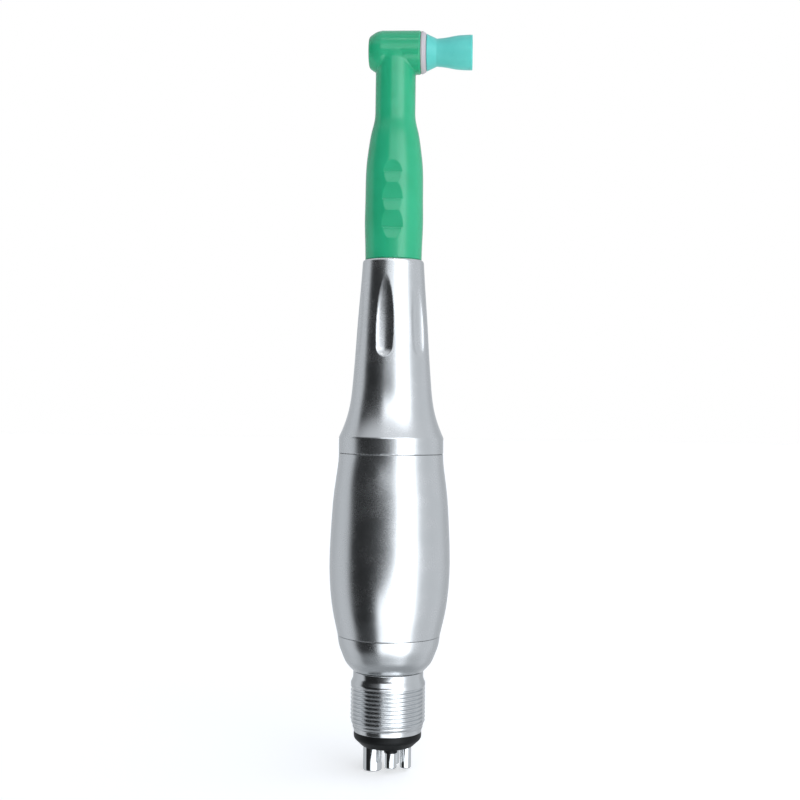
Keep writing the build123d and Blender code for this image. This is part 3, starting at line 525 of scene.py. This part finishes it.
def make_gasket():
    tubes = [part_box(node) for node in ("exhaust_tube", "drive_air_tube", "water_tube", "chip_air_tube")]
    holes = [((low + high) / 2 / MM, (high.x - low.x) / 2 / MM) for low, high in tubes]
    rim_radius, face_radius, top = 5.4, 4.02, 2.63
    boss_radius, boss_draft, boss_low, boss_high = 1.05, 0.12, -0.15, 1.5
    squeeze, clearance, squeeze_low = 0.18, 0.02, 0.47

    def distance(points):
        x, y, z = points.T
        radius = np.hypot(x, y)
        cone = 0.68 * (radius - face_radius) - 0.73 * (z - FACE_Z)
        body = smooth_max(radius - rim_radius, cone, 0.3)
        body = smooth_max(body, FACE_Z - z, 0.15)
        body = smooth_max(body, z - top, 0.08)
        boss_centre = holes[2][0]
        from_boss = np.hypot(x - boss_centre.x, y - boss_centre.y)
        boss = from_boss - boss_radius - boss_draft * (z - boss_low)
        boss = np.maximum(boss, np.maximum(boss_low - z, z - boss_high))
        body = smooth_min(body, boss, 0.18)
        for centre, outer in holes:
            away = np.hypot(x - centre.x, y - centre.y)
            mouth = outer - squeeze if centre == boss_centre else outer + clearance
            body = smooth_max(body, np.where(z < squeeze_low, mouth, outer - squeeze) - away, 0.03)
        return body

    points, quads, outward = skin(distance, (-5.6, -5.6, -0.4), (5.6, 5.6, 2.9), 0.1)
    mesh_piece(
        "rubber_gasket", points, quads, "connector", ["connector_gasket"],
        MATERIALS["black_rubber"], outward,
    )


# ---------------------------------------------------------------- metal casing
def make_rear_cap():
    shell = smooth_curve([(12.45, 5.72), (13.4, 6.6), (14.9, 7.37), (16.3, 7.88), (17.87, 8.15)])
    points = along(shell, 12.45, 17.82, 60)
    points += [(8.15, 17.95, 0.07), (7.05, 17.95), (7.05, 18.6), (6.45, 18.6), (6.45, 19.3), (7.05, 19.3)]
    points += [(7.05, 19.9, 0.1), (6.25, 19.9), (6.25, 18.2), (4.62, 18.2), (4.62, 12.4, 0.12)]
    points += [(5.68, 12.4, 0.05)]
    turned_piece(
        "satin_rear_cap", outline(points), "handpiece", ["rear_cap"], "satin_casing",
        MATERIALS["satin_casing"], segments=224,
    )


def make_barrel():
    shell = smooth_curve(
        [(18.08, 8.17), (21.1, 8.85), (24.0, 9.3), (29.3, 9.6), (35.3, 9.4), (41.0, 8.97), (44.8, 8.47),
         (46.64, 8.34)],
        0.22, 0.0,
    )
    points = [(8.15, 18.0, 0.06)] + along(shell, 18.1, 46.64, 220)
    points += [(8.34, 46.84, 0.07), (7.1, 46.84), (7.1, 18.0)]
    turned_piece(
        "satin_barrel", outline(points), "handpiece", ["barrel"], "satin_casing",
        MATERIALS["satin_casing"], segments=256,
    )


def make_nose_cone():
    taper = smooth_curve(
        [(49.45, 8.34), (50.65, 7.82), (52.6, 7.12), (55.4, 6.52), (58.6, 6.2), (62.1, 5.93), (67.2, 5.6),
         (72.5, 5.2), (76.6, 4.92), (77.8, 4.85)],
        -0.45, -0.06,
    )
    flutes = 6
    first_flute = math.radians(-99.2)
    ring_radius, low, top = 8.34, 46.9, 77.7
    mouth, middle, wide = 4.42, 5.05, 6.25
    middle_top, wide_top = 61.2, 49.2
    cutter, arc = 3.1, 65.5
    arc_centre, deepest, start = 8.08 + arc, 71.2, 64.0
    start_out = arc_centre - math.sqrt(arc**2 - (deepest - start) ** 2)
    swing = math.asin((deepest - start) / arc)

    def distance(points):
        x, y, z = points.T
        radius = np.hypot(x, y)
        wall = smooth_min(np.full_like(z, ring_radius), taper(z), 0.07)
        outside = 0.95 * (radius - wall)
        outside = smooth_max(outside, z - top, 0.5)
        outside = smooth_max(outside, low - z, 0.07)
        bore = np.maximum(radius - mouth, middle_top - z)
        bore = np.minimum(bore, np.maximum(radius - middle, z - middle_top))
        bore = np.minimum(bore, np.maximum(radius - wide, z - wide_top))
        body = smooth_max(outside, -bore, 0.03)
        for index in range(flutes):
            angle = first_flute + index * 2 * math.pi / flutes
            out = x * math.cos(angle) + y * math.sin(angle)
            across = y * math.cos(angle) - x * math.sin(angle)
            along_arc = np.hypot(out - arc_centre, z - deepest) - arc
            before = np.hypot(out - start_out, z - start)
            on_arc = (z - start) * math.cos(swing) > (out - start_out) * math.sin(swing)
            reach = np.hypot(np.where(on_arc, along_arc, before), across)
            reach = np.where(out < 0, 2 * cutter, reach)
            body = smooth_max(body, cutter - reach, 0.09)
        return body

    points, quads, outward = skin(distance, (-8.6, -8.6, 46.6), (8.6, 8.6, 78.0), 0.13)
    mesh_piece(
        "satin_nose_cone", points, quads, "handpiece", ["nose_cone"],
        MATERIALS["satin_casing"], outward,
    )


# ---------------------------------------------------------------- prophy angle
def make_angle():
    barrel = smooth_curve(
        [(77.85, 4.5), (80.4, 4.56), (83.5, 4.66), (87.0, 4.62), (90.0, 4.6), (93.0, 4.48), (95.9, 4.13),
         (98.2, 3.73), (99.7, 3.36), (101.2, 3.2)],
        0.02, -0.02,
    )
    grips, grip_top = (91.2, 86.9, 82.5), 93.3
    grip_below, grip_surface, grip_depth, grip_ledge, rim_depth = 1.75, 4.62, 0.3, 0.07, 0.08
    sleeve, sleeve_low, sleeve_top, shoulder = 4.38, 64.5, 80, 77.75
    neck_radius, barrel_low, neck_low = 3.2, 77.85, 101.2
    swell_size, swell_low, swell_length = 0.21, 103, 7.9
    drum_radius, drum_back, drum_mouth = 3.43, -4.28, 4.0
    chamfer_radius, chamfer_width, chamfer_length = 2.42, 1.08, 1.6
    bores = ((3.35, 77.2), (2.6, 98.0), (2.25, HEAD_Z))
    drum_bores = ((2.75, 0.2), (2.25, -3.4), (0.63, -3.95))

    def distance(points):
        x, y, z = points.T
        radius = np.hypot(x, y)
        wall = np.where(z > neck_low, neck_radius, barrel(np.maximum(z, barrel_low)))
        outside = smooth_max(0.95 * (radius - wall), shoulder - z, 0.08)
        outside = np.minimum(outside, np.maximum(radius - sleeve, z - sleeve_top))
        swell = neck_radius + swell_size * np.clip((z - swell_low) / swell_length, 0, 1)
        neck = np.hypot(x, y * neck_radius / swell) - neck_radius
        outside = np.where(z > swell_low, neck, outside)
        outside = np.maximum(outside, z - HEAD_Z)
        scoop = np.full_like(z, -1.0)
        top = grip_top
        for deepest in grips:
            bottom = deepest - grip_below
            upper = grip_depth - (grip_depth - rim_depth) * ((z - deepest) / (top - deepest)) ** 2
            low_depth = grip_depth - grip_ledge
            lower = low_depth - (low_depth - rim_depth) * ((deepest - z) / grip_below) ** 2
            depth = lower + (upper - lower) * np.clip((z - deepest) / grip_ledge + 1, 0, 1)
            scoop = np.where((z <= top) & (z > bottom), depth, scoop)
            top = bottom
        outside = smooth_max(outside, np.abs(y) - (grip_surface - scoop), 0.04)
        outside = smooth_max(outside, sleeve_low - z, 0.25)
        about = np.hypot(y, z - HEAD_Z)
        drum = smooth_max(about - drum_radius, x - drum_mouth, 0.3)
        chamfer = (-(x - drum_back) * chamfer_width + (about - chamfer_radius) * chamfer_length) / 1.93
        drum = smooth_max(drum, chamfer, 0.5)
        drum = smooth_max(drum, drum_back - x, 0.35)
        outside = smooth_min(outside, drum, 0.22)
        hollows = [np.maximum(radius - bore, z - end) for bore, end in bores]
        hollows += [np.maximum(about - bore, end - x) for bore, end in drum_bores]
        return smooth_max(outside, -np.minimum.reduce(hollows), 0.05)

    points, quads, outward = skin(distance, (-4.9, -4.9, 64.2), (4.9, 4.9, 114.7), 0.115)
    mesh_piece(
        "moulded_angle_body", points, quads, "prophy_angle", ["angle_body"],
        MATERIALS["green_plastic"], outward,
    )
    collar = [
        (1.65, 2.1), (2.74, 2.1, 0.05), (2.74, 4.01), (3.28, 4.01, 0.08), (3.36, 4.25, 0.1),
        (3.24, 4.55, 0.15), (2.96, 4.87, 0.12), (1.65, 4.87),
    ]
    turned_piece(
        "moulded_head_collar", outline(collar), "prophy_angle", ["head_collar"], "pale_plastic",
        MATERIALS["pale_plastic"], segments=160, head=True,
    )


def make_cup():
    flange = smooth_curve([(4.93, 2.92), (5.3, 2.74), (5.9, 2.46), (6.4, 2.22), (7.2, 1.8)], -0.4, -0.5)
    flare = smooth_curve(
        [(5.6, 2.06), (6.4, 2.15), (8.0, 2.32), (9.6, 2.61), (10.9, 2.72), (12.3, 2.75)],
        0.1, 0.0,
    )

    back, lip, hollow_floor = 4.93, 12.2, 8.0
    hollow_radius, hollow_radius_at, hollow_draft = 1.55, 8.3, 0.192
    stem_radius, stem_end = 1.02, 6.0
    button_radius, button_middle, button_half = 1.52, 6.45, 0.57
    web_half, web_core, web_end = 0.15, 0.6, 11.3

    def distance(points):
        x, y, z = points.T
        about = np.hypot(y, z - HEAD_Z)
        wall = smooth_max(flange(x), flare(x), 0.06)
        outside = 0.93 * (about - wall)
        outside = smooth_max(outside, x - lip, 0.14)
        outside = smooth_max(outside, back - x, 0.08)
        inner_wall = hollow_radius + (x - hollow_radius_at) * hollow_draft
        hollow = smooth_max(0.98 * (about - inner_wall), hollow_floor - x, 0.25)
        button = np.maximum(about - stem_radius, x - stem_end)
        head = np.maximum(about - button_radius, np.abs(x - button_middle) - button_half)
        button = np.minimum(button, head)
        body = smooth_max(outside, -hollow, 0.06)
        body = smooth_max(body, -button, 0.03)
        for angle in (math.pi / 4, 3 * math.pi / 4):
            side = y * math.cos(angle) + (z - HEAD_Z) * math.sin(angle)
            top = 0.8 + (x - 8.8) * 0.46
            web = np.maximum(np.abs(side) - web_half, 0.91 * (top - about))
            web = np.maximum(np.maximum(web, web_core - about), x - web_end)
            web = np.maximum(np.maximum(web, about - inner_wall - 0.1), hollow_floor - 0.1 - x)
            body = smooth_min(body, web, 0.12)
        return body

    points, quads, outward = skin(distance, (4.7, -3.1, HEAD_Z - 3.1), (12.4, 3.1, HEAD_Z + 3.1), 0.075)
    mesh_piece(
        "soft_prophy_cup", points, quads, "cup", ["prophy_cup"],
        MATERIALS["turquoise_rubber"], outward,
    )


# ---------------------------------------------------------------- stage, light and camera
def make_floor():
    size = 3.0
    low = cad_box[0][2] - 0.1 * MM
    mesh = bpy.data.meshes.new("floor")
    corners = ((-size, -size, low), (size, -size, low), (size, size, low), (-size, size, low))
    mesh.from_pydata(corners, [], [(0, 1, 2, 3)])
    floor = bpy.data.objects.new("floor", mesh)
    bpy.context.scene.collection.objects.link(floor)
    material = bpy.data.materials.new("pale_floor")
    material.use_nodes = True
    nodes, links = material.node_tree.nodes, material.node_tree.links
    surface = nodes["Principled BSDF"]
    surface.inputs["Base Color"].default_value = (0.8, 0.8, 0.8, 1)
    surface.inputs["Roughness"].default_value = 0.6
    surface.inputs["Emission Color"].default_value = (1, 1, 1, 1)
    surface.inputs["Emission Strength"].default_value = 0.5
    mesh.materials.append(material)
    floor.visible_glossy = False


def make_world():
    """A plain studio seen only in reflections, by azimuth and height angle as the viewer sees it.

    A tall bright panel stands to the right and a dark one to the left, with light between them.
    Grey panels stand beside and behind the object, and a bright strip hangs overhead. Matt
    surfaces get more light from the right. The camera itself sees white."""
    world = bpy.data.worlds.new("studio")
    bpy.context.scene.world = world
    world.use_nodes = True
    nodes, links = world.node_tree.nodes, world.node_tree.links
    background = nodes["Background"]
    place = nodes.new("ShaderNodeTexCoord")
    split = nodes.new("ShaderNodeSeparateXYZ")
    links.new(place.outputs["Generated"], split.inputs["Vector"])

    def wire(node, *values):
        for socket, value in zip(node.inputs, values):
            if isinstance(value, (int, float)):
                socket.default_value = value
            else:
                links.new(value, socket)

    def maths(operation, *values):
        node = nodes.new("ShaderNodeMath")
        node.operation = operation
        wire(node, *values)
        return node.outputs["Value"]

    def soft_step(value, low, high):
        node = nodes.new("ShaderNodeMapRange")
        node.interpolation_type = "SMOOTHSTEP"
        wire(node, value, low, high)
        return node.outputs["Result"]

    def ramp(turn, stops):
        node = nodes.new("ShaderNodeValToRGB")
        links.new(turn, node.inputs["Fac"])
        elements = node.color_ramp.elements
        elements.remove(elements[1])
        for index, (angle, level) in enumerate(stops):
            position = angle / 360 + 0.5
            element = elements[index] if index < 1 else elements.new(position)
            element.position = position
            element.color = (level * 0.96, level, level * 1.05, 1)
        return node.outputs["Color"]

    def mix(factor, a, b, blend="MIX"):
        node = nodes.new("ShaderNodeMix")
        node.data_type, node.blend_type = "RGBA", blend
        links.new(factor, node.inputs["Factor"])
        for socket, value in (("A", a), ("B", b)):
            if isinstance(value, tuple):
                node.inputs[socket].default_value = (*value, 1)
            else:
                links.new(value, node.inputs[socket])
        return node.outputs["Result"]

    to_degrees = 180 / math.pi
    azimuth = maths("ARCTAN2", split.outputs["X"], maths("MULTIPLY", split.outputs["Y"], -1))
    azimuth = maths("MULTIPLY", maths("SUBTRACT", azimuth, VIEW_TURN), to_degrees)
    height = maths("MULTIPLY", maths("ARCSINE", split.outputs["Z"]), to_degrees)
    turn = maths("ADD", maths("DIVIDE", azimuth, 360), 0.5)
    panel = 2.8
    dark = ((-180, 0.02), (-32, 0.02))
    between = ((-27, 0.15), (-21, 1.5), (4, 1.8))
    bright = ((24, panel), (42, panel), (53, 1.25), (63, 0.68))
    right = ((85, 0.6), (115, 0.64), (133, 0.5), (150, 0.5), (164, 0.64), (180, 0.68))
    colour = ramp(turn, dark + between + bright + right)
    behind = ramp(turn, ((-180, 0.68), (-164, 0.64), (-150, 0.5), (-133, 0.5), (-115, 0.58), (-80, 0.6)))
    lean = maths("MULTIPLY", maths("MINIMUM", maths("MAXIMUM", height, 0), 14), 0.8)
    colour = mix(soft_step(maths("ADD", azimuth, lean), -77, -89), colour, behind)
    ground, ceiling, strip_light, white = (0.32, 0.34, 0.36), (0.62, 0.64, 0.67), (4.2,) * 3, (1.0,) * 3
    colour = mix(soft_step(height, -30, -60), colour, ground)
    colour = mix(soft_step(height, 24, 44), colour, ceiling)
    strip = maths("MULTIPLY", soft_step(height, 59, 60.5), soft_step(height, 64.5, 63))
    strip = maths("MULTIPLY", strip, soft_step(maths("ABSOLUTE", azimuth), 30, 24))
    colour = mix(strip, colour, strip_light)
    rays = nodes.new("ShaderNodeLightPath")
    fill = ramp(turn, ((-180, 0.6), (-110, 0.3), (-40, 0.35), (10, 0.95), (60, 1.85), (120, 1.6), (180, 0.6)))
    colour = mix(rays.outputs["Is Diffuse Ray"], colour, fill, "MULTIPLY")
    colour = mix(rays.outputs["Is Camera Ray"], colour, white)
    links.new(colour, background.inputs["Color"])


def make_card():
    """A shaded card behind the viewer, seen only in reflections. It is darkest at its left side."""
    away = 400
    left, right, top = -225, 125, 169
    left_foot, right_foot = -135, -4
    corners = ((left, left_foot), (right, right_foot), (right, top), (left, top))
    turn = Matrix.Rotation(VIEW_TURN, 4, "Z")
    points = [turn @ (Vector((x, -away, z - FACE_Z)) * MM) for x, z in corners]
    mesh = bpy.data.meshes.new("card")
    mesh.from_pydata(points, [], [(0, 1, 2, 3)])
    card = bpy.data.objects.new("card", mesh)
    bpy.context.scene.collection.objects.link(card)
    material = bpy.data.materials.new("shaded_card")
    material.use_nodes = True
    nodes, links = material.node_tree.nodes, material.node_tree.links
    nodes.remove(nodes["Principled BSDF"])
    place = nodes.new("ShaderNodeTexCoord")
    split = nodes.new("ShaderNodeSeparateXYZ")
    across = nodes.new("ShaderNodeMapRange")
    across.inputs["From Min"].default_value = left * MM
    across.inputs["From Max"].default_value = right * MM
    shades = nodes.new("ShaderNodeValToRGB")
    stops = ((0.0, 0.02), (0.2, 0.035), (0.42, 0.09), (0.62, 0.22), (0.82, 0.5), (1.0, 1.0))
    elements = shades.color_ramp.elements
    elements.remove(elements[1])
    for index, (position, level) in enumerate(stops):
        element = elements[0] if index == 0 else elements.new(position)
        element.color = (level * 0.96, level, level * 1.05, 1)
    glow = nodes.new("ShaderNodeEmission")
    links.new(place.outputs["Object"], split.inputs["Vector"])
    links.new(split.outputs["X"], across.inputs["Value"])
    links.new(across.outputs["Result"], shades.inputs["Fac"])
    links.new(shades.outputs["Color"], glow.inputs["Color"])
    links.new(glow.outputs["Emission"], nodes["Material Output"].inputs["Surface"])
    mesh.materials.append(material)
    for ray in ("camera", "diffuse", "transmission", "volume_scatter", "shadow"):
        setattr(card, "visible_" + ray, False)


def make_camera():
    focal_pixels, shift_pixels = 1330, 16
    image, sensor = 800, 36
    distance = 212.5
    eye_height, eye_right = 52.9 - FACE_Z, 1.36
    lean = math.radians(0.73)
    camera = bpy.data.cameras.new("camera")
    camera.sensor_width = sensor
    camera.lens = focal_pixels * sensor / image
    camera.shift_y = shift_pixels / image
    camera.clip_start = 0.01
    viewer = bpy.data.objects.new("camera", camera)
    bpy.context.scene.collection.objects.link(viewer)
    turn = Matrix.Rotation(VIEW_TURN, 4, "Z")
    upright = Matrix.Rotation(math.pi / 2, 4, "X")
    roll = Matrix.Rotation(lean, 4, "Z")
    spot = Matrix.Translation(Vector((eye_right, -distance, eye_height)) * MM)
    viewer.matrix_world = turn @ spot @ upright @ roll
    bpy.context.scene.camera = viewer


def paint_frame():
    """Gives every CAD node the material of its slot in the record."""
    for entry in frame["record"]["subparts"]:
        node = frame["nodes"][entry["node"]]
        node.data.materials.clear()
        node.data.materials.append(MATERIALS[entry["material_slot"]])


paint_frame()
make_connector()
make_gasket()
make_rear_cap()
make_barrel()
make_nose_cone()
make_angle()
make_cup()
make_floor()
make_world()
make_card()
make_camera()
bpy.context.scene.view_settings.view_transform = "Standard"
